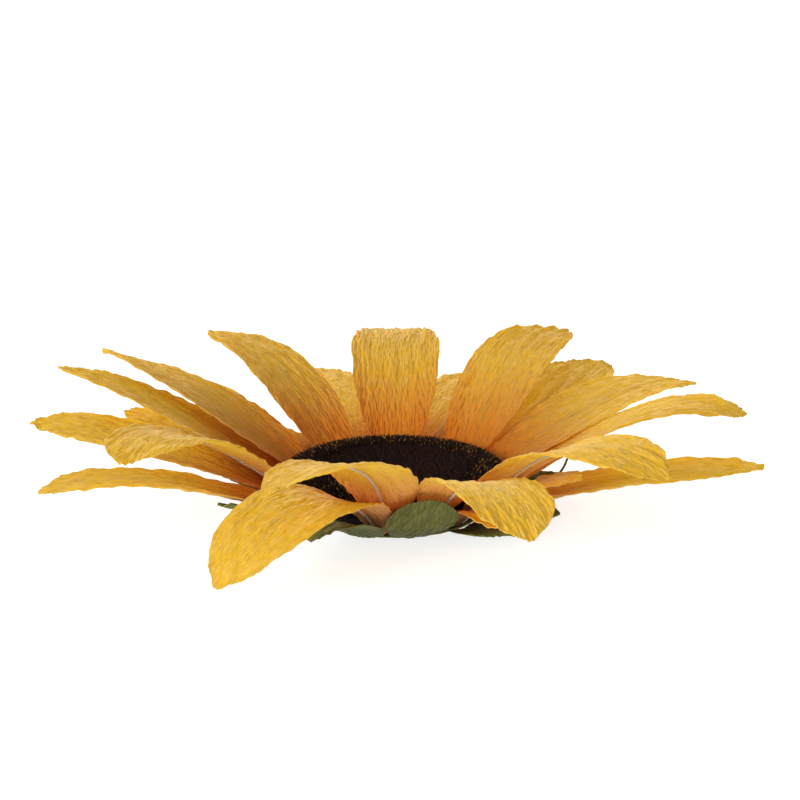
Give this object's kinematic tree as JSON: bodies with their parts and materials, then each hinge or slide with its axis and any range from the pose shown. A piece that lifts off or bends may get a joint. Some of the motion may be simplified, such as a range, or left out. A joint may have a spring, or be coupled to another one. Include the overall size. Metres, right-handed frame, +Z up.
{
  "type": "paper sunflower head",
  "caption": "Large handmade crepe-paper sunflower head with wired petals, green sepals and a dark fringed centre, resting on a flat backing disc.",
  "frame": {"origin": "middle of the flat underside of the backing disc, on the surface the flower lies on", "axes": "+Z up out of the flower's face; +X and +Y level, with +Y towards the tall back petals"},
  "size_m": [0.3844, 0.353, 0.0724],
  "materials": {
    "petal_paper": "heavy golden-yellow crepe paper, orange towards the root, matt with a slight sheen on its ridges",
    "sepal_paper": "heavy moss-green crepe paper, matt",
    "core_fringe": "finely cut near-black brown paper fringe, velvety",
    "ring_fringe": "finely cut brown paper fringe with gold tips",
    "stem_wire": "cream paper wrapped over florist's wire, matt",
    "green_wire": "dark green paper wrapped over florist's wire, matt"
  },
  "bodies": {
    "root": {"fringe_core": "core_fringe", "fringe_ring": "ring_fringe", "backing_disc": "sepal_paper", "petal_inner_01": "petal_paper", "wire_inner_01": "stem_wire", "petal_inner_02": "petal_paper", "wire_inner_02": "stem_wire", "petal_inner_03": "petal_paper", "wire_inner_03": "stem_wire", "petal_inner_04": "petal_paper", "wire_inner_04": "stem_wire", "petal_inner_05": "petal_paper", "wire_inner_05": "stem_wire", "petal_inner_06": "petal_paper", "wire_inner_06": "stem_wire", "petal_inner_07": "petal_paper", "wire_inner_07": "stem_wire", "petal_inner_08": "petal_paper", "wire_inner_08": "stem_wire", "petal_inner_09": "petal_paper", "wire_inner_09": "stem_wire", "petal_inner_10": "petal_paper", "wire_inner_10": "stem_wire", "petal_outer_01": "petal_paper", "wire_outer_01": "stem_wire", "petal_outer_02": "petal_paper", "wire_outer_02": "stem_wire", "petal_outer_03": "petal_paper", "wire_outer_03": "stem_wire", "petal_outer_04": "petal_paper", "wire_outer_04": "stem_wire", "petal_outer_05": "petal_paper", "wire_outer_05": "stem_wire", "petal_outer_06": "petal_paper", "wire_outer_06": "stem_wire", "petal_outer_07": "petal_paper", "wire_outer_07": "stem_wire", "petal_outer_08": "petal_paper", "wire_outer_08": "stem_wire", "petal_outer_09": "petal_paper", "wire_outer_09": "stem_wire", "petal_outer_10": "petal_paper", "wire_outer_10": "stem_wire", "petal_outer_11": "petal_paper", "wire_outer_11": "stem_wire", "petal_outer_12": "petal_paper", "wire_outer_12": "stem_wire", "petal_outer_13": "petal_paper", "wire_outer_13": "stem_wire", "loose_wire": "green_wire", "sepal_1": "sepal_paper", "sepal_2": "sepal_paper", "sepal_3": "sepal_paper", "sepal_4": "sepal_paper", "sepal_5": "sepal_paper", "sepal_6": "sepal_paper", "sepal_7": "sepal_paper", "sepal_8": "sepal_paper", "sepal_9": "sepal_paper"}
  },
  "joints": []
}
